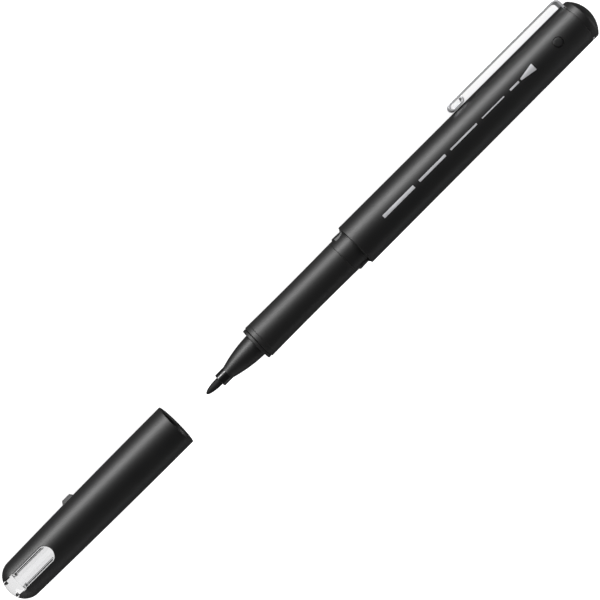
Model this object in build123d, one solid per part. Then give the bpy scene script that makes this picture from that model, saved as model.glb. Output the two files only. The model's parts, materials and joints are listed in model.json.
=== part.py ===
from build123d import *
import math
import os

# A fineliner pen lying on a desk with its cap drawn off, in millimetres.
# Every piece is drawn about the pen's own axis, X, with x = 0 at the shoulder where the cap stops.
# The nib points to -X, the clip is on the +Y side and the window is on the +Z and -Z sides.
# laid_down() then turns the pen about its axis until barrel and clip both touch the desk, z = 0.

# Barrel
barrel_length = 77.2
barrel_front_diameter = 11.95
barrel_taper = 0.15
barrel_wall = 1.4
barrel_edge_chamfer = 0.2
rib_count = 4
rib_width = 0.8
rib_end_gap = 1.0

# End plug
plug_rim_length = 1.85
plug_dome_height = 2.52
plug_stem_length = 12.0
plug_stem_wall = 0.9
plug_floor = 1.5
core_post_diameter = 2.4
core_post_length = 2.0
boss_diameter = 2.4
boss_offset = 7.5
tongue_width = 4.2
tongue_root = 2.5
slit_width = 0.5

# Clip, one strip of spring steel
clip_length = 37.35
clip_width = 4.2
clip_sheet = 0.57
clip_root_radius = 1.0
curl_radius = 0.58
loop_length = 4.55
hook_radius = 0.5
hook_gap = 0.15

# Front body
collar_length = 4.4
spigot_length = 12.0
front_body_wall = 0.75
nose_land_length = 6.8
lug_length = 3.45
lug_width = 3.0
lug_height = 0.37
lug_ramp = 0.55

# Grip sleeve
grip_length = 29.4
grip_wall = 0.66
grip_waist_depth = 0.11
grip_edge_round = 0.2
grip_line_offset = 1.3
grip_line_width = 0.14
grip_line_depth = 0.08

# Seal ring and nose cone
ring_thickness = 0.9
ring_step = 0.2
ring_edge_chamfer = 0.12
cone_length = 9.95
cone_step = 1.35
cone_flare_length = 0.45
cone_crown = 0.32
nose_step = 0.55
vent_count = 3
vent_width = 0.4
vent_depth = 0.35

# Tip sleeve and nib
tip_sleeve_diameter = 3.54
tip_sleeve_length = 2.6
tip_sleeve_wall = 0.35
tip_stem_length = 4.5
tip_edge_chamfer = 0.15
nib_diameter = 2.1
nib_exposed_length = 4.65
nib_point_length = 4.2
nib_socket_depth = 7.0

# Ink core
core_film = 0.1
breather_diameter = 0.9
breather_bore = 0.5

# Cap
rest_gap = 10.6
cap_mouth_wall = 0.7
cap_mouth_depth = 5.5
cap_mouth_lead = 0.5
cap_middle_drop = 0.15
cap_tail_drop = 0.6
cap_dome_excess = 0.95
cap_shoulder_inset = 0.85
cap_end_wall = 4.05
nub_offset = 32.1
nub_top_length = 2.3
nub_flank = 0.63
nub_rise = 0.63
nub_root = 0.4
nub_width = 2.2

# Inner cap and its window
window_width = 5.0
window_length = 15.8
window_arch = 1.7
inner_cap_wall = 0.7
inner_cap_end = 0.8
nib_room = 2.3

# Clearances
fit_gap = 0.05
film_gap = 0.05
boss_gap = 0.14
slot_side_gap = 0.3
nose_end_gap = 0.5
clip_gap = 0.08
cone_gap = 0.3
cap_flush_step = 0.025
cap_lug_gap = 0.08
cap_grip_gap = 0.18

# Radii, worked out from the barrel inwards
barrel_front_radius = barrel_front_diameter / 2
barrel_rear_radius = barrel_front_radius - barrel_taper
barrel_bore_radius = barrel_rear_radius - barrel_wall
spigot_radius = barrel_bore_radius - fit_gap
cap_mouth_radius = barrel_front_radius - cap_flush_step
cap_mouth_bore_radius = cap_mouth_radius - cap_mouth_wall
lug_radius = cap_mouth_bore_radius - cap_lug_gap
collar_radius = lug_radius - lug_height
waist_radius = collar_radius - grip_waist_depth
sleeve_bore_radius = waist_radius - grip_wall
sleeve_seat_radius = sleeve_bore_radius - fit_gap
front_bore_radius = sleeve_seat_radius - front_body_wall
film_radius = front_bore_radius - film_gap
film_bore_radius = film_radius - core_film
core_radius = film_bore_radius - film_gap
ring_radius = collar_radius - ring_step
cone_base_radius = ring_radius - cone_step
nose_spigot_radius = cone_base_radius - nose_step
nib_radius = nib_diameter / 2
nib_bore_radius = nib_radius + fit_gap
tip_sleeve_radius = tip_sleeve_diameter / 2
tip_stem_radius = nib_bore_radius + tip_sleeve_wall
cap_grip_bore_radius = collar_radius + cap_grip_gap
cavity_radius = cone_base_radius + cone_gap
inner_cap_radius = cavity_radius + inner_cap_wall
cap_tail_radius = cap_mouth_radius - cap_tail_drop
cap_dome_radius = cap_tail_radius + cap_dome_excess
cap_shoulder_radius = cap_tail_radius - cap_shoulder_inset

# Stations along the axis
grip_rear = -collar_length
grip_front = grip_rear - grip_length
ring_front = grip_front - ring_thickness
cone_front = ring_front - cone_length
tip_front = cone_front - tip_sleeve_length
nib_front = tip_front - nib_exposed_length
land_rear = grip_front + nose_land_length
core_front = land_rear + fit_gap
nib_rear = core_front + nib_socket_depth
stem_front = barrel_length - plug_stem_length
stem_floor = barrel_length - plug_floor
core_rear = stem_floor - core_post_length - fit_gap
rim_rear = barrel_length + plug_rim_length
pen_rear = rim_rear + plug_dome_height
clip_front = barrel_length - clip_length

# Cap stations, from its mouth
cavity_end = nib_front - nib_room
body_end = cavity_end - inner_cap_end
cap_length = cap_end_wall - cavity_end
cap_draw = rest_gap - nib_front

# Clip heights, from the pen's axis
barrel_radius_at_tip = barrel_front_radius - barrel_taper * clip_front / barrel_length
clip_low = barrel_radius_at_tip + clip_gap + clip_sheet / 2
clip_high = clip_low + 2 * curl_radius + clip_sheet
clip_reach = clip_high + clip_sheet / 2
strap_front = barrel_length + fit_gap
strap_top = barrel_rear_radius + clip_gap

# Lying pose: the clip's outer corner and the barrel's front edge share the desk
clip_corner_radius = math.hypot(clip_reach, clip_width / 2)
clip_corner_angle = math.atan2(clip_width / 2, clip_reach)
roll = math.pi / 2 - math.acos(barrel_front_radius / clip_corner_radius) - clip_corner_angle
length_middle = (pen_rear - cap_draw - cap_length) / 2
clip_side = clip_reach * math.cos(roll) + clip_width / 2 * math.sin(roll)
width_middle = (clip_side - barrel_front_radius) / 2


def laid_down(shape):
    lie = Pos(-length_middle, -width_middle, barrel_front_radius) * Rot(-math.degrees(roll), 0, 0)
    return lie * shape


def turned(*edges):
    return revolve(make_face(list(edges)), axis=Axis.X)


def turned_corners(*corners):
    return turned(*Polyline(*corners, close=True).edges())


def rod(front, rear, radius):
    return Pos((front + rear) / 2, 0, 0) * Rot(0, 90, 0) * Cylinder(radius, rear - front)


def block(front, rear, width, height, across=0):
    return Pos((front + rear) / 2, across, 0) * Box(rear - front, width, height)


def cross_pin(station, radius):
    return Pos(station, 0, 0) * Cylinder(radius, 2 * barrel_front_diameter)


def barrel_outside():
    return turned_corners(
        (0, 0),
        (0, barrel_front_radius - barrel_edge_chamfer),
        (barrel_edge_chamfer, barrel_front_radius),
        (barrel_length, barrel_rear_radius),
        (barrel_length, 0),
    )


def make_barrel():
    tube = barrel_outside() - rod(0, barrel_length, barrel_bore_radius)
    tube -= cross_pin(barrel_length - boss_offset, boss_diameter / 2 + boss_gap)
    rib_inside = film_radius + film_gap
    rib_outside = barrel_bore_radius + barrel_wall / 2
    rib = block(
        spigot_length + rib_end_gap,
        stem_front - rib_end_gap,
        rib_outside - rib_inside,
        rib_width,
        (rib_outside + rib_inside) / 2,
    )
    for turn in range(rib_count):
        tube += Rot((turn + 0.5) * 360 / rib_count, 0, 0) * rib
    return tube


def make_end_plug():
    dome_radius = (barrel_rear_radius**2 + plug_dome_height**2) / (2 * plug_dome_height)
    dome_middle = barrel_rear_radius / 2
    dome_drop = dome_radius - math.sqrt(dome_radius**2 - dome_middle**2)
    head = turned(
        Line((barrel_length, 0), (barrel_length, barrel_rear_radius)),
        Line((barrel_length, barrel_rear_radius), (rim_rear, barrel_rear_radius)),
        ThreePointArc((rim_rear, barrel_rear_radius), (pen_rear - dome_drop, dome_middle), (pen_rear, 0)),
        Line((pen_rear, 0), (barrel_length, 0)),
    )
    hollow = rod(stem_front, stem_floor, spigot_radius - plug_stem_wall)
    stem = rod(stem_front, barrel_length, spigot_radius) - hollow
    for side in (-1, 1):
        across = side * (tongue_width + slit_width) / 2
        stem -= block(stem_front, stem_floor - tongue_root, slit_width, 2 * barrel_front_diameter, across)
    boss = cross_pin(barrel_length - boss_offset, boss_diameter / 2) & barrel_outside()
    post = rod(stem_floor - core_post_length, stem_floor, core_post_diameter / 2)
    slot_rear = strap_front + clip_sheet + fit_gap
    slot = block(barrel_length, slot_rear, 2 * barrel_front_diameter, clip_width + 2 * slot_side_gap)
    return head + stem + (boss - hollow) + post - slot


def make_clip_strap():
    strap_rear = strap_front + clip_sheet
    upper = block(strap_front, strap_rear, strap_top, clip_width, strap_top / 2)
    lower = block(strap_front, strap_rear, barrel_front_diameter, clip_width)
    lower &= rod(strap_front, strap_rear, barrel_rear_radius - fit_gap)
    return upper + lower


def make_pocket_clip():
    leg_middle = strap_front + clip_sheet / 2
    root_bend = clip_root_radius + clip_sheet / 2
    curl_bend = curl_radius + clip_sheet / 2
    hook_bend = hook_radius + clip_sheet / 2
    hook_middle = clip_front + loop_length - clip_sheet / 2
    hook_top = clip_high - clip_sheet / 2 - hook_gap
    leg = Line((leg_middle, strap_top + fit_gap), (leg_middle, clip_high - root_bend))
    root = JernArc(leg @ 1, leg % 1, root_bend, 90)
    arm = Line(root @ 1, (clip_front + clip_sheet / 2 + curl_bend, clip_high))
    curl = JernArc(arm @ 1, arm % 1, curl_bend, 180)
    shoe = Line(curl @ 1, (hook_middle - hook_bend, clip_low))
    hook = JernArc(shoe @ 1, shoe % 1, hook_bend, 90)
    lip = Line(hook @ 1, (hook_middle, hook_top))
    strip = trace([leg, root, arm, curl, shoe, hook, lip], line_width=clip_sheet)
    return extrude(strip, amount=clip_width / 2, both=True)


def make_front_body():
    outside = turned_corners(
        (grip_front, 0),
        (grip_front, sleeve_seat_radius),
        (grip_rear, sleeve_seat_radius),
        (grip_rear, collar_radius),
        (0, collar_radius),
        (0, spigot_radius),
        (spigot_length, spigot_radius),
        (spigot_length, 0),
    )
    lug_ring = turned_corners(
        (-lug_length, sleeve_seat_radius),
        (-lug_length, collar_radius),
        (lug_height - lug_length, lug_radius),
        (-lug_ramp, lug_radius),
        (0, lug_radius + lug_ramp),
        (0, sleeve_seat_radius),
    )
    lugs = lug_ring & block(-lug_length, 0, 2 * barrel_front_diameter, lug_width)
    bore = rod(land_rear, spigot_length, front_bore_radius)
    land = rod(grip_front, land_rear, nose_spigot_radius + fit_gap)
    return outside + lugs - bore - land


def make_grip_sleeve():
    front = grip_front + fit_gap
    rear = grip_rear - fit_gap
    end_radius = collar_radius - grip_edge_round
    sleeve = turned(
        Line((front, sleeve_bore_radius), (front, end_radius)),
        Line((front, end_radius), (front + grip_edge_round, collar_radius)),
        ThreePointArc(
            (front + grip_edge_round, collar_radius),
            ((front + rear) / 2, waist_radius),
            (rear, collar_radius),
        ),
        Line((rear, collar_radius), (rear, sleeve_bore_radius)),
        Line((rear, sleeve_bore_radius), (front, sleeve_bore_radius)),
    )
    line_front = grip_front + grip_line_offset
    line_rear = line_front + grip_line_width
    line_floor = collar_radius - grip_waist_depth - grip_line_depth
    groove = rod(line_front, line_rear, barrel_front_radius) - rod(line_front, line_rear, line_floor)
    return sleeve - groove


def make_seal_ring():
    rear = grip_front
    ring = rod(ring_front, rear, ring_radius)
    ring = chamfer(ring.edges().filter_by(GeomType.CIRCLE), ring_edge_chamfer)
    return ring - rod(ring_front, rear, nose_spigot_radius + fit_gap)


def make_nose_cone():
    flare_rear = cone_front + cone_flare_length
    crown_length = ring_front - flare_rear
    slope = (cone_base_radius - tip_sleeve_radius) / (cone_length - cone_flare_length / 2)
    flare_radius = tip_sleeve_radius + slope * cone_flare_length / 2
    crown_middle = (cone_base_radius + flare_radius) / 2 + cone_crown
    flare_middle = tip_sleeve_radius + slope * cone_flare_length / 8
    spigot_rear = land_rear - nose_end_gap
    cone = turned(
        Line((cone_front, 0), (cone_front, tip_sleeve_radius)),
        ThreePointArc(
            (cone_front, tip_sleeve_radius),
            (cone_front + cone_flare_length / 2, flare_middle),
            (flare_rear, flare_radius),
        ),
        ThreePointArc(
            (flare_rear, flare_radius),
            (flare_rear + crown_length / 2, crown_middle),
            (ring_front, cone_base_radius),
        ),
        Line((ring_front, cone_base_radius), (ring_front, nose_spigot_radius)),
        Line((ring_front, nose_spigot_radius), (spigot_rear, nose_spigot_radius)),
        Line((spigot_rear, nose_spigot_radius), (spigot_rear, 0)),
        Line((spigot_rear, 0), (cone_front, 0)),
    )
    stem_seat_rear = cone_front + tip_stem_length + fit_gap
    cone -= rod(cone_front, stem_seat_rear, tip_stem_radius + fit_gap)
    cone -= rod(stem_seat_rear, spigot_rear, nib_bore_radius)
    vent = block(stem_seat_rear, spigot_rear, 2 * vent_depth, vent_width, nib_bore_radius)
    for turn in range(vent_count):
        cone -= Rot(turn * 360 / vent_count, 0, 0) * vent
    return cone


def make_tip_sleeve():
    outside = turned_corners(
        (tip_front, 0),
        (tip_front, tip_sleeve_radius - tip_edge_chamfer),
        (tip_front + tip_edge_chamfer, tip_sleeve_radius),
        (cone_front, tip_sleeve_radius),
        (cone_front, tip_stem_radius),
        (cone_front + tip_stem_length, tip_stem_radius),
        (cone_front + tip_stem_length, 0),
    )
    return outside - rod(tip_front, cone_front + tip_stem_length, nib_bore_radius)


def make_nib():
    point_rear = nib_front + nib_point_length
    return turned(
        EllipticalCenterArc((point_rear, 0), nib_point_length, nib_radius, start_angle=90, arc_size=90),
        Line((point_rear, nib_radius), (nib_rear, nib_radius)),
        Line((nib_rear, nib_radius), (nib_rear, 0)),
        Line((nib_rear, 0), (nib_front, 0)),
    )


def breather_place():
    return Pos(0, 0, breather_diameter / 2 - core_radius)


def breather_front():
    return nib_rear + nib_diameter


def make_ink_core():
    core = rod(core_front, core_rear, core_radius)
    core -= rod(core_front, nib_rear + fit_gap, nib_bore_radius)
    groove_radius = breather_diameter / 2 + fit_gap
    groove = rod(breather_front() - fit_gap, core_rear, groove_radius)
    groove += Pos(0, 0, -groove_radius / 2) * block(
        breather_front() - fit_gap, core_rear, 2 * groove_radius, groove_radius
    )
    return core - breather_place() * groove


def make_core_wrap():
    return rod(core_front, core_rear, film_radius) - rod(core_front, core_rear, film_bore_radius)


def make_breather_tube():
    tube = rod(breather_front(), core_rear, breather_diameter / 2)
    tube -= rod(breather_front(), core_rear, breather_bore / 2)
    return breather_place() * tube


def cap_outside():
    dome_centre = cap_dome_radius - cap_length
    side_end = dome_centre - math.sqrt(cap_dome_radius**2 - cap_tail_radius**2)
    dome_middle = cap_tail_radius / 2
    dome_station = dome_centre - math.sqrt(cap_dome_radius**2 - dome_middle**2)
    side_pull = cap_mouth_radius - 2 * cap_middle_drop + cap_tail_drop / 2
    outline = make_face(
        [
            Line((0, 0), (0, cap_mouth_radius)),
            Bezier((0, cap_mouth_radius), (side_end / 2, side_pull), (side_end, cap_tail_radius)),
            ThreePointArc((side_end, cap_tail_radius), (dome_station, dome_middle), (-cap_length, 0)),
            Line((-cap_length, 0), (0, 0)),
        ]
    )
    shoulder = outline.vertices().sort_by_distance((side_end, cap_tail_radius))[0]
    return revolve(fillet(shoulder, cap_shoulder_radius), axis=Axis.X)


def window_block(gap):
    half_width = window_width / 2 - gap
    arch_tip = window_length - cap_length - gap
    arch_foot = arch_tip - window_arch
    behind_end = -cap_length - cap_end_wall
    outline = make_face(
        [
            Line((behind_end, -half_width), (behind_end, half_width)),
            Line((behind_end, half_width), (arch_foot, half_width)),
            ThreePointArc((arch_foot, half_width), (arch_tip, 0), (arch_foot, -half_width)),
            Line((arch_foot, -half_width), (behind_end, -half_width)),
        ]
    )
    return extrude(outline, amount=barrel_front_diameter, both=True)


def make_cap_shell():
    shell = cap_outside()
    shell -= turned_corners(
        (0, 0),
        (0, cap_mouth_bore_radius + cap_mouth_lead),
        (-cap_mouth_lead, cap_mouth_bore_radius),
        (-cap_mouth_depth, cap_mouth_bore_radius),
        (-cap_mouth_depth, cap_grip_bore_radius),
        (ring_front, cap_grip_bore_radius),
        (ring_front, inner_cap_radius + fit_gap),
        (body_end - fit_gap, inner_cap_radius + fit_gap),
        (body_end - fit_gap, 0),
    )
    nub_top = cap_mouth_radius + nub_rise
    nub_bottom = cap_mouth_radius - nub_root
    top_half = nub_top_length / 2
    bottom_half = top_half + nub_flank * (nub_top - nub_bottom)
    nub = Polyline(
        (-nub_offset - bottom_half, nub_bottom),
        (-nub_offset - top_half, nub_top),
        (-nub_offset + top_half, nub_top),
        (-nub_offset + bottom_half, nub_bottom),
        close=True,
    )
    shell += extrude(make_face(nub), amount=nub_width / 2, both=True)
    return shell - window_block(0)


def make_inner_cap():
    body = rod(body_end, ring_front, inner_cap_radius)
    body += window_block(fit_gap) & cap_outside()
    return body - rod(cavity_end, ring_front, cavity_radius)


def drawn_off(shape):
    return Pos(-cap_draw, 0, 0) * shape


pieces = {
    "barrel": make_barrel(),
    "end_plug": make_end_plug(),
    "clip_strap": make_clip_strap(),
    "pocket_clip": make_pocket_clip(),
    "front_body": make_front_body(),
    "grip_sleeve": make_grip_sleeve(),
    "seal_ring": make_seal_ring(),
    "nose_cone": make_nose_cone(),
    "tip_sleeve": make_tip_sleeve(),
    "nib": make_nib(),
    "ink_core": make_ink_core(),
    "core_wrap": make_core_wrap(),
    "breather_tube": make_breather_tube(),
    "cap_shell": drawn_off(make_cap_shell()),
    "inner_cap": drawn_off(make_inner_cap()),
}

os.makedirs("parts", exist_ok=True)
for name, piece in pieces.items():
    export_step(laid_down(piece), f"parts/{name}.step")
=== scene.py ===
import json
import math

import bmesh
import bpy
from mathutils import Matrix, Vector


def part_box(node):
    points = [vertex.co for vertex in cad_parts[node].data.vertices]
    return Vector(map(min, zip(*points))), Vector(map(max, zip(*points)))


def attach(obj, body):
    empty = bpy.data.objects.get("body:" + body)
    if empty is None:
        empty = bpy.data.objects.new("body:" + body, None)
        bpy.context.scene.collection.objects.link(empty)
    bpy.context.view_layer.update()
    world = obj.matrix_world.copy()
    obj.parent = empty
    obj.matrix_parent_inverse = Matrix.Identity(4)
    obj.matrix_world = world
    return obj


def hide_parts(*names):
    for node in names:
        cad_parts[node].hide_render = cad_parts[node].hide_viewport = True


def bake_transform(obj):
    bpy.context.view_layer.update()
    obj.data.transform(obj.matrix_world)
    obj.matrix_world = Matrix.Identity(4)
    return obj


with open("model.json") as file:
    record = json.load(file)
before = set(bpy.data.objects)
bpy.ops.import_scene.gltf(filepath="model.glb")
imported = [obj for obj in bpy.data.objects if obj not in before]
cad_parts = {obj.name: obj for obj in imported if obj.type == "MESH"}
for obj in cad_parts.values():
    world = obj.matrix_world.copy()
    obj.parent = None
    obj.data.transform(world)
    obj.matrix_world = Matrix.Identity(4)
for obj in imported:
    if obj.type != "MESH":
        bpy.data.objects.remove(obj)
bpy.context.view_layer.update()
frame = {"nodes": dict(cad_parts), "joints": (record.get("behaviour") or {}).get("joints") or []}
print("frame loaded:", len(frame["nodes"]), "nodes")

# The pen's own frame, in millimetres: x runs back along the axis from the shoulder,
# y points to the clip and z to the window. penToRow lays it on the desk.
mm = 0.001
mergeGap = 0.0005  # points closer than this are one point
near = 0.01  # edges closer than this to a face lie on it
clear = 0.1  # edges further than this from a bore are outside it
overshoot = 1  # how far a cut goes past the face that it opens
roundSteps = 144  # faces round a turned piece
pinSteps = 64  # faces round a pin
creaseAngle = 32  # degrees past which an edge is shaded sharp
barrelLow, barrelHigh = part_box("barrel")
shoulder = Vector((barrelLow.x, (barrelLow.y + barrelHigh.y) / 2, (barrelLow.z + barrelHigh.z) / 2))
clipJoint = next(joint for joint in frame["joints"] if joint["name"] == "clip_flex")
roll = math.atan2(-clipJoint["axis"][1], -clipJoint["axis"][2])
penToRow = Matrix.Translation(shoulder) @ Matrix.Rotation(-roll, 4, "X") @ Matrix.Scale(mm, 4)


def span(node):
    low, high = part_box(node)
    return (low.x - shoulder.x) / mm, (high.x - shoulder.x) / mm


def girth(node):
    low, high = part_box(node)
    return (high.z - low.z) / 2 / mm


# bmesh helpers, all in the pen's frame

def spaced(start, end, count):  # count even steps from start to end
    return [start + (end - start) * i / count for i in range(count + 1)]


def arcPoints(centre, radius, start, end, count):
    turns = [math.radians(degrees) for degrees in spaced(start, end, count)]
    return [(centre[0] + radius * math.cos(a), centre[1] + radius * math.sin(a)) for a in turns]


def vertsIn(geometry):
    return [part for part in geometry if isinstance(part, bmesh.types.BMVert)]


def edgeFront(edge):
    return min(vert.co.x for vert in edge.verts)


def edgeRear(edge):
    return max(vert.co.x for vert in edge.verts)


def edgeRadius(edge):
    return min(vert.co.yz.length for vert in edge.verts)


def turned(profile, closed=False, steps=roundSteps):  # profile: (x, radius) pairs
    bm = bmesh.new()
    verts = [bm.verts.new((x, radius, 0)) for x, radius in profile]
    edges = [bm.edges.new(pair) for pair in zip(verts, verts[1:])]
    if closed:
        edges.append(bm.edges.new((verts[-1], verts[0])))
    bmesh.ops.spin(bm, geom=verts + edges, cent=(0, 0, 0), axis=(1, 0, 0), angle=2 * math.pi, steps=steps,
                   use_merge=True)
    bmesh.ops.remove_doubles(bm, verts=bm.verts, dist=mergeGap)
    bmesh.ops.recalc_face_normals(bm, faces=bm.faces)
    return bm


def prism(outline, low, high):  # an outline of (x, y) pairs, from z low to high
    bm = bmesh.new()
    base = bm.faces.new([bm.verts.new((x, y, low)) for x, y in outline])
    grown = bmesh.ops.extrude_face_region(bm, geom=[base])["geom"]
    bmesh.ops.translate(bm, vec=(0, 0, high - low), verts=vertsIn(grown))
    bmesh.ops.recalc_face_normals(bm, faces=bm.faces)
    return bm


def block(front, rear, low, high, depth):  # a box from x front to rear, y low to high, z within depth
    bm = bmesh.new()
    bmesh.ops.create_cube(bm, size=1)
    bmesh.ops.scale(bm, vec=(rear - front, high - low, 2 * depth), verts=bm.verts)
    bmesh.ops.translate(bm, vec=((front + rear) / 2, (low + high) / 2, 0), verts=bm.verts)
    return bm


def pin(x, radius, low, high):  # a round pin that stands across the axis, from z low to high
    bm = bmesh.new()
    bmesh.ops.create_cone(bm, cap_ends=True, segments=pinSteps, radius1=radius, radius2=radius,
                          depth=high - low, matrix=Matrix.Translation((x, 0, (low + high) / 2)))
    return bm


def rolled(bm, degrees):  # turned about the pen's axis
    aboutAxis = Matrix.Rotation(math.radians(degrees), 3, "X")
    bmesh.ops.rotate(bm, cent=(0, 0, 0), matrix=aboutAxis, verts=bm.verts)
    return bm


def softenEdges(bm, width, segments=3, sharp=40, only=None):
    edges = [e for e in bm.edges if len(e.link_faces) == 2 and e.calc_face_angle() > math.radians(sharp)]
    edges = [e for e in edges if only is None or only(e)]
    bmesh.ops.bevel(bm, geom=edges, offset=width, offset_type="OFFSET", segments=segments, profile=0.5,
                    affect="EDGES", material=-1, clamp_overlap=True)


def combined(bm, other, operation):  # boolean of two closed shapes, both used up
    objects = []
    for shape in (bm, other):
        mesh = bpy.data.meshes.new("working")
        shape.to_mesh(mesh)
        shape.free()
        working = bpy.data.objects.new("working", mesh)
        bpy.context.scene.collection.objects.link(working)
        objects.append(working)
    cut = objects[0].modifiers.new("cut", "BOOLEAN")
    cut.object, cut.operation, cut.solver = objects[1], operation, "EXACT"
    result = bmesh.new()
    result.from_object(objects[0], bpy.context.evaluated_depsgraph_get())
    for working in objects:
        bpy.data.meshes.remove(working.data)
    return result


def finishPiece(name, bm, material, nodes, body=None):
    bmesh.ops.transform(bm, matrix=penToRow, verts=bm.verts)
    mesh = bpy.data.meshes.new(name)
    bm.to_mesh(mesh)
    bm.free()
    mesh.shade_smooth()
    mesh.set_sharp_from_angle(angle=math.radians(creaseAngle))
    mesh.materials.append(material)
    piece = bpy.data.objects.new(name, mesh)
    bpy.context.scene.collection.objects.link(piece)
    weighted = piece.modifiers.new("even shading", "WEIGHTED_NORMAL")
    weighted.keep_sharp = True
    if body:
        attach(piece, body)
    if nodes:
        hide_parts(*nodes)
    print("made", name, len(mesh.polygons), "faces")
    return piece


# Materials

def linear(hexColor):
    channels = [int(hexColor[i:i + 2], 16) / 255 for i in (1, 3, 5)]
    return [c / 12.92 if c <= 0.04045 else ((c + 0.055) / 1.055) ** 2.4 for c in channels] + [1]


def addNode(tree, kind, settings, links=None):  # a socket that shares its name with others goes by its number
    node = tree.nodes.new(kind)
    for key, value in settings.items():
        if isinstance(key, int) or key in node.inputs:
            node.inputs[key].default_value = value
        else:
            setattr(node, key, value)
    for key, socket in (links or {}).items():
        tree.links.new(socket, node.inputs[key])
    return node


# grain and cloud are sizes in mm. Real grains are finer, and are drawn this coarse so that they show
def grainedFinish(name, look):
    material = bpy.data.materials.new(name)
    material.use_nodes = True
    tree = material.node_tree
    tree.nodes.clear()
    place = addNode(tree, "ShaderNodeTexCoord", {})
    stretch = look.get("stretch", 1)  # a grain longer along the pen than across it
    along = addNode(tree, "ShaderNodeMapping", {"Scale": (1 / stretch, 1, 1)},
                    {"Vector": place.outputs["Object"]})
    grain = addNode(tree, "ShaderNodeTexNoise",
                    {"Scale": 1 / (look["grain"] * mm), "Detail": 2.0, "Roughness": 0.6},
                    {"Vector": along.outputs["Vector"]})
    cloud = addNode(tree, "ShaderNodeTexNoise", {"Scale": 1 / (look["cloud"] * mm), "Detail": 3.0},
                    {"Vector": along.outputs["Vector"]})
    color = addNode(tree, "ShaderNodeMix",
                    {"data_type": "RGBA", 6: linear(look["dark"]), 7: linear(look["light"])},
                    {0: cloud.outputs["Fac"]})
    gloss = addNode(tree, "ShaderNodeMapRange",
                    {"To Min": look["roughness"] - look["unevenness"],
                     "To Max": look["roughness"] + look["unevenness"]},
                    {"Value": cloud.outputs["Fac"]})
    relief = addNode(tree, "ShaderNodeBump", {"Strength": look["bump"], "Distance": look["relief"] * mm},
                     {"Height": grain.outputs["Fac"]})
    shader = addNode(tree, "ShaderNodeBsdfPrincipled", look["shader"],
                     {"Base Color": color.outputs[2], "Roughness": gloss.outputs["Result"],
                      "Normal": relief.outputs["Normal"]})
    addNode(tree, "ShaderNodeOutputMaterial", {}, {"Surface": shader.outputs["BSDF"]})
    return material


# polypropylene moulded in a spark-eroded tool: near black, a broad satin highlight
mouldedBlack = grainedFinish("moulded polypropylene", {
    "dark": "#040405", "light": "#080809", "grain": 0.25, "cloud": 6, "roughness": 0.49, "unevenness": 0.02,
    "bump": 0.12, "relief": 0.01, "shader": {"IOR": 1.49, "Specular IOR Level": 0.25}})

# soft-touch elastomer moulded over the grip: a little broader in its highlight than the hard plastic
softGrip = grainedFinish("moulded elastomer", {
    "dark": "#030303", "light": "#060606", "grain": 0.22, "cloud": 5, "roughness": 0.53, "unevenness": 0.02,
    "bump": 0.14, "relief": 0.01, "shader": {"IOR": 1.5, "Specular IOR Level": 0.26}})

# soft seal ring, dull from the mould
sealRubber = grainedFinish("moulded seal rubber", {
    "dark": "#050505", "light": "#09090a", "grain": 0.3, "cloud": 3, "roughness": 0.55, "unevenness": 0.03,
    "bump": 0.1, "relief": 0.01, "shader": {"IOR": 1.5, "Specular IOR Level": 0.25}})

# turned acetal: deep black with a tight bright highlight
glossAcetal = grainedFinish("turned acetal", {
    "dark": "#080808", "light": "#0d0d0e", "grain": 0.15, "cloud": 2, "roughness": 0.27, "unevenness": 0.03,
    "bump": 0.05, "relief": 0.004, "shader": {"IOR": 1.48, "Specular IOR Level": 0.3}})

# bonded polyester fibre full of ink: dull, with fine lines along the rod
inkedFibre = grainedFinish("bonded fibre", {
    "dark": "#070708", "light": "#101012", "grain": 0.12, "cloud": 0.5, "roughness": 0.7, "unevenness": 0.06,
    "stretch": 8, "bump": 0.3, "relief": 0.02, "shader": {"IOR": 1.45, "Specular IOR Level": 0.15}})

# spring steel, rolled bright and nickel plated: nearly white where it faces the light, faint rolling lines
nickelSteel = grainedFinish("nickel-plated spring steel", {
    "dark": "#cecfd1", "light": "#dcdcde", "grain": 0.08, "cloud": 1.5, "roughness": 0.38, "unevenness": 0.04,
    "stretch": 20, "bump": 0.04, "relief": 0.004, "shader": {"Metallic": 1.0}})

# silver printing ink: fine flakes in a binder, duller than metal and brighter than pale grey paint
silverInk = grainedFinish("printed silver ink", {
    "dark": "#c4c4c7", "light": "#d8d8db", "grain": 0.12, "cloud": 2, "roughness": 0.42, "unevenness": 0.05,
    "bump": 0.06, "relief": 0.004, "shader": {"Metallic": 0.75}})

# polystyrene moulded clear and polished: see-through, dark only where light is trapped at its edges
clearStyrene = grainedFinish("clear polystyrene", {
    "dark": "#fbfbfc", "light": "#ffffff", "grain": 2, "cloud": 4, "roughness": 0.02, "unevenness": 0.01,
    "bump": 0.01, "relief": 0.001, "shader": {"IOR": 1.55, "Transmission Weight": 1.0}})

# polypropylene film and tube round the ink: clear, thin and slightly hazy
clearFilm = grainedFinish("extruded clear film", {
    "dark": "#f2f3f5", "light": "#ffffff", "grain": 1, "cloud": 5, "roughness": 0.12, "unevenness": 0.04,
    "stretch": 6, "bump": 0.05, "relief": 0.01, "shader": {"IOR": 1.49, "Transmission Weight": 0.9}})

print("materials ready:", len(bpy.data.materials))

# Ink store, closed inside the pen: its solids show only when the pieces are taken apart

for node, material in {"ink_core": inkedFibre, "core_wrap": clearFilm, "breather_tube": clearFilm}.items():
    frame["nodes"][node].data.materials.clear()
    frame["nodes"][node].data.materials.append(material)

# Barrel: a tapered tube with two round snap holes near its rear, and ribs inside that centre the ink core

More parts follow.
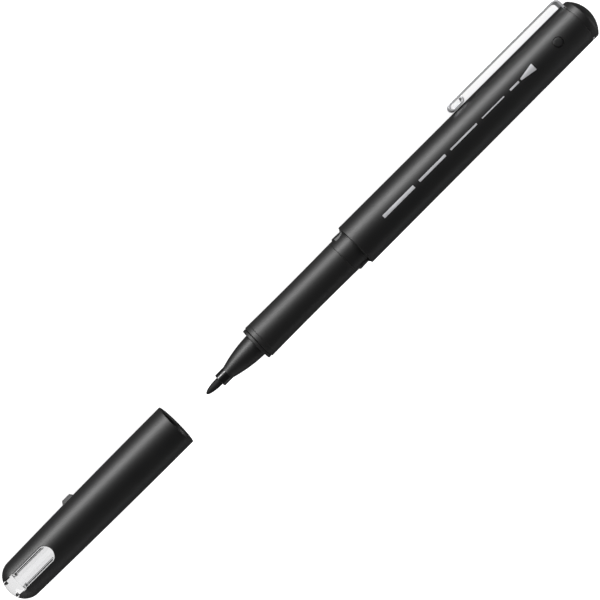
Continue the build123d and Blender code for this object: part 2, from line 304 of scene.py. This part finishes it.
barrel = {"taper": 0.15, "wall": 1.4, "edge": 0.18, "seamEdge": 0.09, "holeRadius": 1.34, "holeSetback": 7.5,
          "ribs": 4, "ribWidth": 0.8, "ribEndGap": 1.0, "ribGap": 0.05}
barrelRear = span("barrel")[1]
frontRadius = girth("barrel")
rearRadius = frontRadius - barrel["taper"]
boreRadius = rearRadius - barrel["wall"]
holeStation = barrelRear - barrel["holeSetback"]
outside = 2 * frontRadius  # well off the pen, for cuts that go right through it


def barrelRadius(x):
    return frontRadius - barrel["taper"] * x / barrelRear


tube = turned([(0, boreRadius), (0, frontRadius), (barrelRear, rearRadius), (barrelRear, boreRadius)],
              closed=True)
softenEdges(tube, barrel["edge"], only=lambda e: edgeRear(e) < near)
softenEdges(tube, barrel["seamEdge"], only=lambda e: edgeFront(e) > barrelRear - near)
tube = combined(tube, pin(holeStation, barrel["holeRadius"], -outside, outside), "DIFFERENCE")
ribFront = span("front_body")[1] + barrel["ribEndGap"]
ribRear = span("end_plug")[0] - barrel["ribEndGap"]
for turn in range(barrel["ribs"]):
    rib = block(ribFront, ribRear, girth("core_wrap") + barrel["ribGap"], boreRadius + barrel["wall"] / 2,
                barrel["ribWidth"] / 2)
    tube = combined(tube, rolled(rib, (turn + 0.5) * 360 / barrel["ribs"]), "UNION")
finishPiece("barrel_tube", tube, mouldedBlack, ["barrel"], "pen")

# End plug: domed head with a slot for the clip, and a slit stem whose two tongues snap into the barrel

plug = {"rim": 1.85, "domeEdge": 0.25, "domeSharp": 25, "domeSteps": 24, "seamEdge": 0.15, "stemGap": 0.05,
        "stemWall": 0.9, "floor": 1.5, "bossRadius": 1.2, "bossSunk": 0.03, "bossEdge": 0.12, "bossRings": 4,
        "slotLength": 0.67, "slotDepth": 2.4, "slotLead": 0.001, "postRadius": 1.2, "postLength": 2.0,
        "tongueWidth": 4.2, "tongueRoot": 2.5, "slitWidth": 0.5}
plugFront, plugRear = span("end_plug")
rimRear = barrelRear + plug["rim"]
domeHeight = plugRear - rimRear
domeRadius = (rearRadius ** 2 + domeHeight ** 2) / (2 * domeHeight)
domeReach = math.degrees(math.asin(rearRadius / domeRadius))
stemRadius = boreRadius - plug["stemGap"]
stemFloor = barrelRear - plug["floor"]
postFront = stemFloor - plug["postLength"]
plugProfile = [(postFront, 0), (postFront, plug["postRadius"]), (stemFloor, plug["postRadius"]),
               (stemFloor, stemRadius - plug["stemWall"]), (plugFront, stemRadius - plug["stemWall"]),
               (plugFront, stemRadius), (barrelRear, stemRadius), (barrelRear, rearRadius)]
plugProfile += arcPoints((plugRear - domeRadius, 0), domeRadius, domeReach, 0, plug["domeSteps"])
head = turned(plugProfile)
softenEdges(head, plug["domeEdge"], sharp=plug["domeSharp"], only=lambda e: edgeFront(e) > rimRear - near)
softenEdges(head, plug["seamEdge"],
            only=lambda e: abs(edgeFront(e) - barrelRear) < near and edgeRadius(e) > stemRadius + clear)
bossTop = barrelRadius(holeStation) - plug["bossSunk"]
bossRoot = stemRadius - plug["stemWall"] / 2
bossRing = plug["bossRadius"] / (plug["bossRings"] + 2)
for side in (-1, 1):
    boss = pin(holeStation, plug["bossRadius"], *sorted((side * bossRoot, side * bossTop)))
    softenEdges(boss, plug["bossEdge"])
    crown = max(boss.faces, key=lambda f: side * f.calc_center_median().z)
    for ringStep in range(plug["bossRings"]):
        bmesh.ops.inset_individual(boss, faces=[crown], thickness=bossRing)
    for vert in boss.verts:  # the boss's top follows the barrel's round
        if side * vert.co.z > stemRadius:
            vert.co.z -= side * (bossTop - math.sqrt(bossTop ** 2 - vert.co.y ** 2))
    head = combined(head, boss, "UNION")
    slitLow = side * (plug["tongueWidth"] + plug["slitWidth"]) / 2 - plug["slitWidth"] / 2
    slit = block(plugFront - overshoot, stemFloor - plug["tongueRoot"], slitLow, slitLow + plug["slitWidth"],
                 outside)
    head = combined(head, slit, "DIFFERENCE")
slot = block(barrelRear - plug["slotLead"], barrelRear + plug["slotLength"], -outside, outside,
             plug["slotDepth"])
head = combined(head, slot, "DIFFERENCE")
finishPiece("plug_head", head, mouldedBlack, ["end_plug"], "pen")

# Clip: one strip of steel, drawn along its outer face from the plug's slot to the turned-up end

clip = {"width": 4.2, "sheet": 0.57, "length": 37.35, "rootRadius": 1.0, "curlRadius": 0.58, "loop": 4.55,
        "hookRadius": 0.5, "hookGap": 0.15, "slotGap": 0.05, "restGap": 0.08, "edge": 0.05, "edgeSharp": 60,
        "rows": 8, "bendSteps": 12, "curlSteps": 20, "flexLow": 0.3, "flexHigh": 0.7, "flexReach": 1.0}
clipFront = barrelRear - clip["length"]
clipBack = barrelRear + clip["slotGap"] + clip["sheet"]
shoeLow = barrelRadius(clipFront) + clip["restGap"]
armHigh = shoeLow + 2 * (clip["curlRadius"] + clip["sheet"])
rootOuter = clip["rootRadius"] + clip["sheet"]
curlOuter = clip["curlRadius"] + clip["sheet"]
hookOuter = clip["hookRadius"] + clip["sheet"]
hookRear = clipFront + clip["loop"]
strapEnd = rearRadius - clip["slotGap"]
stripPath = [(clipBack, -strapEnd), (clipBack, 0)]
stripPath += arcPoints((clipBack - rootOuter, armHigh - rootOuter), rootOuter, 0, 90, clip["bendSteps"])
stripPath += arcPoints((clipFront + curlOuter, armHigh - curlOuter), curlOuter, 90, 270, clip["curlSteps"])
stripPath += arcPoints((hookRear - hookOuter, shoeLow + hookOuter), hookOuter, -90, 0, clip["bendSteps"])
stripPath += [(hookRear, armHigh - clip["sheet"] - clip["hookGap"])]
strip = bmesh.new()
row = [strip.verts.new((x, y, -clip["width"] / 2)) for x, y in stripPath]
rowEdges = [strip.edges.new(pair) for pair in zip(row, row[1:])]
for step in range(clip["rows"]):
    grown = bmesh.ops.extrude_edge_only(strip, edges=rowEdges)["geom"]
    bmesh.ops.translate(strip, vec=(0, 0, clip["width"] / clip["rows"]), verts=vertsIn(grown))
    rowEdges = [g for g in grown if isinstance(g, bmesh.types.BMEdge)]
    rowEdges = [e for e in rowEdges if abs(e.verts[0].co.z - e.verts[1].co.z) < mergeGap]
for vert in strip.verts:  # the strap's end is cut to the plug's rim
    if vert.co.y < near - strapEnd:
        vert.co.y = -math.sqrt(strapEnd ** 2 - vert.co.z ** 2)
bmesh.ops.recalc_face_normals(strip, faces=strip.faces)
armFaces = [f for f in strip.faces if f.calc_center_median().y > armHigh - near]
if sum(f.normal.y for f in armFaces) < 0:  # the drawn face is the outer one
    bmesh.ops.reverse_faces(strip, faces=strip.faces)
bmesh.ops.solidify(strip, geom=strip.faces[:], thickness=clip["sheet"])
bmesh.ops.recalc_face_normals(strip, faces=strip.faces)
softenEdges(strip, clip["edge"], segments=2, sharp=clip["edgeSharp"])
clipStrip = finishPiece("clip_strip", strip, nickelSteel, ["clip_strap", "pocket_clip"])
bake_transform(clipStrip)

# Front body: the collar that the cap snaps on, its two lugs, and the tube under the grip

collar = {"length": 4.4, "radius": girth("grip_sleeve"), "seat": 3.98, "bore": 3.23, "land": 2.75,
          "landLength": 6.8, "edge": 0.05, "lugLength": 3.45, "lugHeight": 0.37, "lugFall": 0.1,
          "lugRamp": 0.45, "lugEdge": 0.24, "lugSunk": 0.02, "lugShort": 0.002, "lugDraw": 0.343,
          "lugPlan": [(-3.9, 2.6), (-2.75, 4.55), (-1.6, 4.55), (0.5, 2.9)]}  # station and half width
bodyFront, spigotRear = span("front_body")
landRear = bodyFront + collar["landLength"]
core = turned([(bodyFront, collar["land"]), (bodyFront, collar["seat"]), (-collar["length"], collar["seat"]),
               (-collar["length"], collar["radius"]), (0, collar["radius"]), (0, stemRadius),
               (spigotRear, stemRadius), (spigotRear, collar["bore"]), (landRear, collar["bore"]),
               (landRear, collar["land"])], closed=True)
softenEdges(core, collar["edge"],
            only=lambda e: edgeRear(e) < near - collar["length"] and edgeRadius(e) > collar["seat"] + clear)
lugTop = collar["radius"] + collar["lugHeight"]
lugFront, lugRear = -collar["lugLength"], -collar["lugShort"]
lugProfile = [(lugFront, collar["seat"]), (lugFront, collar["radius"] - collar["lugSunk"]),
              (lugFront + collar["lugHeight"], lugTop), (-collar["lugRamp"], lugTop - collar["lugFall"]),
              (lugRear, lugTop + collar["lugRamp"]), (lugRear, collar["seat"])]
lugPlan = collar["lugPlan"] + [(x, -z) for x, z in collar["lugPlan"][::-1]]
for side in (-1, 1):
    wedge = bmesh.new()  # the lug's plan, drawn in on its way out from the pen's axis so that the flanks lean
    base = wedge.faces.new([wedge.verts.new((x, 0, z)) for x, z in lugPlan])
    for vert in vertsIn(bmesh.ops.extrude_face_region(wedge, geom=[base])["geom"]):
        vert.co = (vert.co.x, side * frontRadius, vert.co.z * collar["lugDraw"])
    bmesh.ops.recalc_face_normals(wedge, faces=wedge.faces)
    lug = combined(turned(lugProfile, closed=True), wedge, "INTERSECT")
    softenEdges(lug, collar["lugEdge"], segments=4, only=lambda e: edgeRadius(e) > collar["radius"] + clear)
    core = combined(core, lug, "UNION")
finishPiece("front_collar", core, mouldedBlack, ["front_body"], "pen")

# Grip sleeve: a waisted sleeve with a fine line near its front

grip = {"wall": 0.66, "waist": 0.11, "waistSteps": 24, "frontEdge": 0.2, "rearEdge": 0.05,
        "lineSetback": 1.25, "lineWidth": 0.14, "lineDepth": 0.06}
gripFront, gripRear = span("grip_sleeve")
gripBore = collar["radius"] - grip["waist"] - grip["wall"]


def gripRadius(x):
    share = 2 * (x - gripFront) / (gripRear - gripFront) - 1
    return collar["radius"] - grip["waist"] * (1 - share ** 2)


lineFront = gripFront + grip["lineSetback"]
lineRear = lineFront + grip["lineWidth"]
gripProfile = [(gripFront, gripBore), (gripFront, gripRadius(gripFront)), (lineFront, gripRadius(lineFront)),
               ((lineFront + lineRear) / 2, gripRadius(lineFront) - grip["lineDepth"])]
gripProfile += [(x, gripRadius(x)) for x in spaced(lineRear, gripRear, grip["waistSteps"])]
sleeve = turned(gripProfile + [(gripRear, gripBore)], closed=True)
softenEdges(sleeve, grip["frontEdge"],
            only=lambda e: edgeRear(e) < gripFront + near and edgeRadius(e) > gripBore + clear)
softenEdges(sleeve, grip["rearEdge"], only=lambda e: edgeFront(e) > gripRear - near)
finishPiece("grip_skin", sleeve, softGrip, ["grip_sleeve"], "pen")

# Seal ring, nose cone, tip sleeve and nib

seal = {"hole": 2.75, "edge": 0.2}
ringFront, ringRear = span("seal_ring")
ringRadius = girth("seal_ring")
ring = turned([(ringFront, seal["hole"]), (ringFront, ringRadius), (ringRear, ringRadius),
               (ringRear, seal["hole"])], closed=True)
softenEdges(ring, seal["edge"], only=lambda e: edgeRadius(e) > seal["hole"] + clear)
finishPiece("seal_band", ring, sealRubber, ["seal_ring"], "pen")

nose = {"crown": 0.32, "crownSteps": 28, "flare": 0.45, "spigot": 2.7, "bore": 1.1, "seatBore": 1.5,
        "seatDepth": 4.55, "edge": 0.06, "vents": 3, "ventWidth": 0.4, "ventDepth": 0.35, "ventLead": 0.1}
coneFront, coneRear = span("nose_cone")
coneRadius = girth("nose_cone")
tipRadius = girth("tip_sleeve")
flareRear = coneFront + nose["flare"]
seatRear = coneFront + nose["seatDepth"]
coneSlope = (coneRadius - tipRadius) / (ringFront - coneFront - nose["flare"] / 2)
flareRadius = tipRadius + coneSlope * nose["flare"] / 2


def crownPoint(share):  # from the flare to the seal ring
    straight = flareRadius + (coneRadius - flareRadius) * share
    return flareRear + (ringFront - flareRear) * share, straight + 4 * nose["crown"] * share * (1 - share)


noseProfile = [(coneFront, nose["seatBore"]), (coneFront, tipRadius)]
noseProfile += [crownPoint(share) for share in spaced(0, 1, nose["crownSteps"])]
noseProfile += [(ringFront, nose["spigot"]), (coneRear, nose["spigot"]), (coneRear, nose["bore"]),
                (seatRear, nose["bore"]), (seatRear, nose["seatBore"])]
cone = turned(noseProfile, closed=True)
softenEdges(cone, nose["edge"],
            only=lambda e: edgeRear(e) < ringFront + near and edgeRadius(e) > tipRadius - near)
for turn in range(nose["vents"]):  # air passes beside the nib
    vent = block(seatRear - nose["ventLead"], coneRear + overshoot, nose["bore"] - nose["ventDepth"],
                 nose["bore"] + nose["ventDepth"], nose["ventWidth"] / 2)
    cone = combined(cone, rolled(vent, turn * 360 / nose["vents"]), "DIFFERENCE")
finishPiece("nose_ogee", cone, mouldedBlack, ["nose_cone"], "pen")

ferrule = {"bore": 1.1, "stem": 1.45, "edge": 0.15}
ferruleFront, ferruleRear = span("tip_sleeve")
tip = turned([(ferruleFront, ferrule["bore"]), (ferruleFront, tipRadius), (coneFront, tipRadius),
              (coneFront, ferrule["stem"]), (ferruleRear, ferrule["stem"]), (ferruleRear, ferrule["bore"])],
             closed=True)
softenEdges(tip, ferrule["edge"], only=lambda e: edgeRear(e) < ferruleFront + near)
finishPiece("tip_ferrule", tip, glossAcetal, ["tip_sleeve"], "pen")

fibre = {"point": 4.2, "pointSteps": 20, "steps": 96}
nibFront, nibRear = span("nib")
nibRadius = girth("nib")
pointTurns = [math.radians(degrees) for degrees in spaced(0, 90, fibre["pointSteps"])]
nibProfile = [(nibFront + fibre["point"] * (1 - math.cos(a)), nibRadius * math.sin(a)) for a in pointTurns]
bullet = turned(nibProfile + [(nibRear, nibRadius), (nibRear, 0)], steps=fibre["steps"])
finishPiece("nib_point", bullet, inkedFibre, ["nib"], "pen")

# Cap: a tapered shell whose slotted end is filled by the clear inner cap. x is 0 at the cap's mouth

cap = {"tailDrop": 0.6, "middleDrop": 0.15, "domeExcess": 0.95, "shoulderInset": 0.85, "mouthBore": 5.25,
       "mouthDepth": 5.5, "mouthLead": 0.5, "mouthEdge": 0.1, "gripBore": 4.98, "gripEnd": 34.7,
       "innerBore": 4.3, "innerEnd": 55.05, "steps": 160, "sideSteps": 32, "roundSteps": 16,
       "domeSteps": 10, "settleSteps": 8}
capMouth = span("cap_shell")[1]
capLength = capMouth - span("inner_cap")[0]
mouthRadius = girth("cap_shell")
tailRadius = mouthRadius - cap["tailDrop"]
capDome = tailRadius + cap["domeExcess"]
capRound = tailRadius - cap["shoulderInset"]
domeStation = capDome - capLength
sideEnd = domeStation - math.sqrt(capDome ** 2 - tailRadius ** 2)


def sideRadius(x):
    share = x / sideEnd
    pull = mouthRadius - 2 * cap["middleDrop"] + cap["tailDrop"] / 2
    return mouthRadius * (1 - share) ** 2 + 2 * pull * share * (1 - share) + tailRadius * share ** 2


roundStation = sideEnd
for settle in range(cap["settleSteps"]):  # the shoulder's round touches both the side and the dome
    roundHeight = sideRadius(roundStation) - capRound
    roundStation = domeStation - math.sqrt((capDome - capRound) ** 2 - roundHeight ** 2)
roundReach = math.degrees(math.atan2(roundHeight, roundStation - domeStation))
domeEdge = capDome * math.sin(math.radians(180 - roundReach))  # the radius at which the dome meets that round


def capPath(front, sideCount, roundCount, domeCount):  # the cap's outline, from x front to its end's middle
    path = [(x, sideRadius(x)) for x in spaced(front, roundStation, sideCount)[:-1]]
    path += arcPoints((roundStation, roundHeight), capRound, 90, roundReach, roundCount)[:-1]
    return path + arcPoints((domeStation, 0), capDome, roundReach, 180, domeCount)


window = {"width": 5.0, "length": 15.8, "arch": 1.7, "archSteps": 40, "gap": 0.05, "rim": 0.28}
slotEnd = -2 * capLength  # well past the cap's closed end


def windowOutline(gap):  # half width, then the arch's radius, centre and reach, for a given gap to the slot
    half = window["width"] / 2 - gap
    tipX = window["length"] - capLength - gap
    archRadius = (half ** 2 + window["arch"] ** 2) / (2 * window["arch"])
    return half, archRadius, tipX - archRadius, math.degrees(math.asin(half / archRadius))


half, archRadius, archX, archReach = windowOutline(0)
slotPath = arcPoints((archX, 0), archRadius, -archReach, archReach, window["archSteps"])
slotCut = prism(slotPath + [(slotEnd, half), (slotEnd, -half)], -outside, outside)

keys = {"setback": 1.95, "neck": 0.28, "head": 0.68, "reach": 0.95, "root": 0.4, "cover": 0.15,
        "coverSteps": 48, "gap": 0.02}


def keyTooth(side, grown):  # a dovetail tooth on the slot's wall that holds the strap, under its domed end
    middle = keys["setback"] - capLength
    wall = window["width"] / 2
    flank = [(keys["neck"] / 2, wall + keys["root"]), (keys["neck"] / 2, wall),
             (keys["head"] / 2, wall - keys["reach"] - grown)]  # half width, and height over the cap's middle
    plan = [(middle - wide - grown, side * y) for wide, y in flank]
    plan += [(middle + wide + grown, side * y) for wide, y in flank[::-1]]
    domeArc = arcPoints((domeStation, 0), capDome - keys["cover"] + grown, 180, 0, keys["coverSteps"])
    return combined(prism(plan, -frontRadius, frontRadius), turned(domeArc, steps=cap["steps"]), "INTERSECT")


shellProfile = [(-cap["innerEnd"], 0), (-cap["innerEnd"], cap["innerBore"]),
                (-cap["gripEnd"], cap["innerBore"]), (-cap["gripEnd"], cap["gripBore"]),
                (-cap["mouthDepth"], cap["gripBore"]), (-cap["mouthDepth"], cap["mouthBore"]),
                (-cap["mouthLead"], cap["mouthBore"]), (0, cap["mouthBore"] + cap["mouthLead"])]
shellProfile += capPath(0, cap["sideSteps"], cap["roundSteps"], cap["domeSteps"])
shell = turned(shellProfile, steps=cap["steps"])
softenEdges(shell, cap["mouthEdge"],
            only=lambda e: edgeFront(e) > -near and edgeRadius(e) > mouthRadius - near)

nub = {"offset": 32.1, "top": 2.3, "flank": 0.63, "rise": 0.63, "root": 0.4, "width": 2.2, "lean": 0.34,
       "side": 0.15, "edge": 0.1}
nubTop, nubBottom = mouthRadius + nub["rise"], mouthRadius - nub["root"]
nubFront, nubRear = -nub["offset"] - nub["top"] / 2, -nub["offset"] + nub["top"] / 2
stud = block(nubFront, nubRear, nubBottom, nubTop, nub["width"] / 2)
for vert in stud.verts:  # its ends spread towards the cap, and its sides lean in at the top
    if vert.co.y < nubTop - near:
        vert.co.x += math.copysign(nub["flank"] * (nubTop - nubBottom), vert.co.x + nub["offset"])
    else:
        vert.co.z -= math.copysign(nub["lean"], vert.co.z)


def nubEdge(edge, depth):  # within depth of the nub's top
    return min(vert.co.y for vert in edge.verts) > nubTop - depth - near


softenEdges(stud, nub["side"], segments=5,
            only=lambda e: nubEdge(e, 0) and e.verts[0].co.z * e.verts[1].co.z > 0)
softenEdges(stud, nub["edge"], only=lambda e: nubEdge(e, nub["side"]))
shell = combined(shell, stud, "UNION")
shell = combined(shell, slotCut, "DIFFERENCE")
for side in (-1, 1):
    shell = combined(shell, keyTooth(side, 0), "UNION")
bmesh.ops.translate(shell, vec=(capMouth, 0, 0), verts=shell.verts)
finishPiece("cap_tube", shell, mouldedBlack, ["cap_shell"], "cap")

# Inner cap: a clear cup round the nib, whose strap crosses the shell's end and makes the window

cup = {"radius": 4.25, "cavity": 3.55, "front": 34.7, "cavityEnd": 54.2, "end": 55.0, "corner": 0.25,
       "cavitySteps": 240, "columns": 28, "archRows": 16, "sideRows": 14, "roundRows": 14, "domeRows": 10}
half, archRadius, archX, archReach = windowOutline(window["gap"])


def endStation(radius):  # x of the cap's closed end at a given radius
    if radius < domeEdge:
        return domeStation - math.sqrt(capDome ** 2 - radius ** 2)
    return roundStation - math.sqrt(max(0, capRound ** 2 - (radius - roundHeight) ** 2))


archStations = [x for x, y in arcPoints((archX, 0), archRadius, 0, archReach, cup["archRows"])]
archFoot = archStations[-1]
strapRows = [(x, sideRadius(x)) for x in archStations]
strapRows += capPath(archFoot, cup["sideRows"], cup["roundRows"], cup["domeRows"])[1:]
lastRow = len(strapRows) - 1
strap = bmesh.new()
bmesh.ops.create_grid(strap, x_segments=lastRow, y_segments=cup["columns"], size=1)
for vert in strap.verts:  # the grid is laid on the cap's outline, and its rim is rounded inwards
    rowX, rowRadius = strapRows[round((vert.co.x + 1) / 2 * lastRow)]
    inArch = rowX > archFoot
    halfHere = math.sqrt(max(0, archRadius ** 2 - (rowX - archX) ** 2)) if inArch else half
    y = halfHere * math.sin(math.pi / 2 * vert.co.y)
    toEdge = archRadius - math.hypot(rowX - archX, y) if inArch else half - abs(y)
    share = min(1, rowRadius / tailRadius) ** 2
    z = math.sqrt(max(0, rowRadius ** 2 - share * y * y))
    radius = math.hypot(y, z)
    x = rowX if rowX > roundStation else endStation(radius)
    if x > roundStation:
        middle = Vector((x, 0, 0))
    elif radius > domeEdge:
        middle = Vector((roundStation, y * roundHeight / radius, z * roundHeight / radius))
    else:
        middle = Vector((domeStation, 0, 0))
    inset = window["rim"] - min(toEdge, window["rim"])
    drop = window["rim"] - math.sqrt(max(0, window["rim"] ** 2 - inset ** 2))
    place = Vector((x, y, z))
    vert.co = place - (place - middle).normalized() * drop
    if rowRadius < mergeGap:
        vert.co.z = 0
bmesh.ops.remove_doubles(strap, verts=strap.verts, dist=mergeGap)
rimEdges = [e for e in strap.edges if e.is_boundary and max(v.co.z for v in e.verts) > 2 * mergeGap]
walls = bmesh.ops.extrude_edge_only(strap, edges=rimEdges)["geom"]
for vert in vertsIn(walls):  # down to the middle of the cap
    vert.co.z = 0
bmesh.ops.remove_doubles(strap, verts=strap.verts, dist=mergeGap)
bmesh.ops.mirror(strap, geom=strap.verts[:] + strap.edges[:] + strap.faces[:], matrix=Matrix.Identity(4),
                 merge_dist=mergeGap, axis="Z")
bmesh.ops.recalc_face_normals(strap, faces=strap.faces)
cupBody = turned([(-cup["end"], 0), (-cup["end"], cup["radius"]), (-cup["front"], cup["radius"]),
                  (-cup["front"], 0)])
hollowFront = overshoot - cup["front"]
hollow = turned([(-cup["cavityEnd"], 0), (-cup["cavityEnd"], cup["cavity"]), (hollowFront, cup["cavity"]),
                 (hollowFront, 0)], steps=cup["cavitySteps"])
softenEdges(hollow, cup["corner"], segments=5, only=lambda e: edgeRear(e) < near - cup["cavityEnd"])
liner = combined(strap, cupBody, "UNION")
liner = combined(liner, hollow, "DIFFERENCE")
for side in (-1, 1):
    liner = combined(liner, keyTooth(side, keys["gap"]), "DIFFERENCE")
bmesh.ops.translate(liner, vec=(capMouth, 0, 0), verts=liner.verts)
innerLiner = finishPiece("inner_liner", liner, clearStyrene, ["inner_cap"], "cap")

# Print: a plain stroke scale in silver, ending in a dash and a wedge

# each mark has its station, length and weight, the wedge a weight for either end
marks = {"strokes": [(9.5, 10.5, 0.9), (21.8, 9.0, 0.65), (32.6, 9.0, 0.45), (43.4, 7.6, 0.3)],
         "dash": (53.1, 3.0, 0.5), "wedge": (56.8, 4.5, 0.5, 2.0), "proud": 0.012, "sunk": 0.02,
         "rows": 12, "columns": 8}
printed = bmesh.new()


def stamp(x, length, frontWeight, rearWeight):
    grid = bmesh.ops.create_grid(printed, x_segments=marks["rows"], y_segments=marks["columns"], size=0.5)
    for vert in grid["verts"]:
        share = vert.co.x + 0.5
        aside = vert.co.y * (frontWeight + (rearWeight - frontWeight) * share)
        station = x + length * share
        radius = barrelRadius(station) + marks["proud"]
        turn = aside / radius
        vert.co = (station, radius * math.sin(turn), radius * math.cos(turn))


for x, length, weight in marks["strokes"] + [marks["dash"]]:
    stamp(x, length, weight, weight)
stamp(*marks["wedge"])
bmesh.ops.recalc_face_normals(printed, faces=printed.faces)
for face in printed.faces:
    if face.normal.z < 0:
        face.normal_flip()
bmesh.ops.solidify(printed, geom=printed.faces[:], thickness=marks["proud"] + marks["sunk"])
bmesh.ops.recalc_face_normals(printed, faces=printed.faces)
finishPiece("stroke_marks", printed, silverInk, [], "pen")

# Desk, light and camera

desk = {"size": 3.0, "color": "#f4f4f5", "lift": 0.8, "through": 0.88, "mirrored": 0.2}
white = linear("#ffffff")
floorMesh = bmesh.new()
bmesh.ops.create_grid(floorMesh, x_segments=1, y_segments=1, size=desk["size"] / 2)
floorData = bpy.data.meshes.new("desk")
floorMesh.to_mesh(floorData)
floorMesh.free()
floor = bpy.data.objects.new("desk", floorData)
bpy.context.scene.collection.objects.link(floor)

# matt white card: white to the eye with a soft shadow, a little greyer through glass, dark in reflections
card = bpy.data.materials.new("matt white card")
card.use_nodes = True
tree = card.node_tree
tree.nodes.clear()
path = addNode(tree, "ShaderNodeLightPath", {})
matt = addNode(tree, "ShaderNodeBsdfDiffuse", {"Color": linear(desk["color"])})
lift = addNode(tree, "ShaderNodeMath", {"operation": "MULTIPLY", 1: desk["lift"]},
               {0: path.outputs["Is Camera Ray"]})
lifted = addNode(tree, "ShaderNodeEmission", {"Color": white}, {"Strength": lift.outputs[0]})
seen = addNode(tree, "ShaderNodeAddShader", {}, {0: matt.outputs["BSDF"], 1: lifted.outputs["Emission"]})
for ray, strength in (("Is Glossy Ray", desk["mirrored"]), ("Is Transmission Ray", desk["through"])):
    glow = addNode(tree, "ShaderNodeEmission", {"Color": white, "Strength": strength})
    seen = addNode(tree, "ShaderNodeMixShader", {},
                   {0: path.outputs[ray], 1: seen.outputs[0], 2: glow.outputs["Emission"]})
addNode(tree, "ShaderNodeOutputMaterial", {}, {"Surface": seen.outputs[0]})
floorData.materials.append(card)

studio = {"fill": 0.85, "backdrop": 1.0, "through": 0.85, "mirrored": 0.1}
world = bpy.data.worlds.new("studio")
bpy.context.scene.world = world
world.use_nodes = True
tree = world.node_tree
tree.nodes.clear()
path = addNode(tree, "ShaderNodeLightPath", {})
level = addNode(tree, "ShaderNodeMix", {2: studio["fill"], 3: studio["mirrored"]},
                {0: path.outputs["Is Glossy Ray"]})
for ray, strength in (("Is Transmission Ray", studio["through"]), ("Is Camera Ray", studio["backdrop"])):
    level = addNode(tree, "ShaderNodeMix", {3: strength}, {0: path.outputs[ray], 2: level.outputs[0]})
sky = addNode(tree, "ShaderNodeBackground", {"Color": white}, {"Strength": level.outputs[0]})
addNode(tree, "ShaderNodeOutputWorld", {}, {"Surface": sky.outputs["Background"]})

penMiddle = Vector((0, shoulder.y, shoulder.z))
alongPen = Vector((1, 0, 0))
toEye = Vector((0, math.sin(roll), math.cos(roll)))
toClip = Vector((0, math.cos(roll), -math.sin(roll)))

# each box: turn from the eye to the clip's side, swing along the pen, length, height and watts
boxDistance = 0.5
boxes = {"strip": (54.5, 0, 0.9, 0.1, 16.0), "low": (-99, 0, 0.9, 0.1, 0.65),
         "nib end": (-75, -55, 0.4, 0.3, 1.0), "rear end": (-75, 55, 0.4, 0.3, 1.0)}
lamps = {}
for name, (turn, swing, length, height, watts) in boxes.items():
    light = bpy.data.lights.new(name + " box", "AREA")
    light.shape, light.size, light.size_y, light.energy = "RECTANGLE", length, height, watts
    lamp = lamps[name] = bpy.data.objects.new(name + " box", light)
    bpy.context.scene.collection.objects.link(lamp)
    turn, swing = math.radians(turn), math.radians(swing)
    square = toEye * math.cos(turn) + toClip * math.sin(turn)
    away = square * math.cos(swing) + alongPen * math.sin(swing)
    along = alongPen * math.cos(swing) - square * math.sin(swing)
    facing = Matrix((along, away.cross(along), away)).transposed().to_4x4()
    lamp.matrix_world = Matrix.Translation(penMiddle + away * boxDistance) @ facing
    lamp.visible_camera = lamp.visible_diffuse = lamp.visible_transmission = False
unlit = bpy.data.collections.new("clear pieces")  # the strip box is flagged off the clear window
unlit.objects.link(innerLiner)
unlit.collection_objects[0].light_linking.link_state = "EXCLUDE"
lamps["strip"].light_linking.receiver_collection = unlit

lens = {"focal": 105, "sensor": 36, "distance": 0.432, "along": 0.4, "across": 0.1, "slant": 45.02,
        "nearest": 0.01, "furthest": 20}
camera = bpy.data.cameras.new("camera")
camera.lens, camera.sensor_width = lens["focal"], lens["sensor"]
camera.clip_start, camera.clip_end = lens["nearest"], lens["furthest"]
eye = bpy.data.objects.new("camera", camera)
bpy.context.scene.collection.objects.link(eye)
slant = math.radians(lens["slant"])
right = alongPen * math.cos(slant) - toClip * math.sin(slant)
upward = alongPen * math.sin(slant) + toClip * math.cos(slant)
facing = Matrix((right, upward, toEye)).transposed().to_4x4()
aimed = penMiddle + alongPen * lens["along"] * mm + toClip * lens["across"] * mm
eye.matrix_world = Matrix.Translation(aimed + toEye * lens["distance"]) @ facing
bpy.context.scene.camera = eye
bpy.context.scene.view_settings.view_transform = "Standard"
print("desk, light and camera ready")
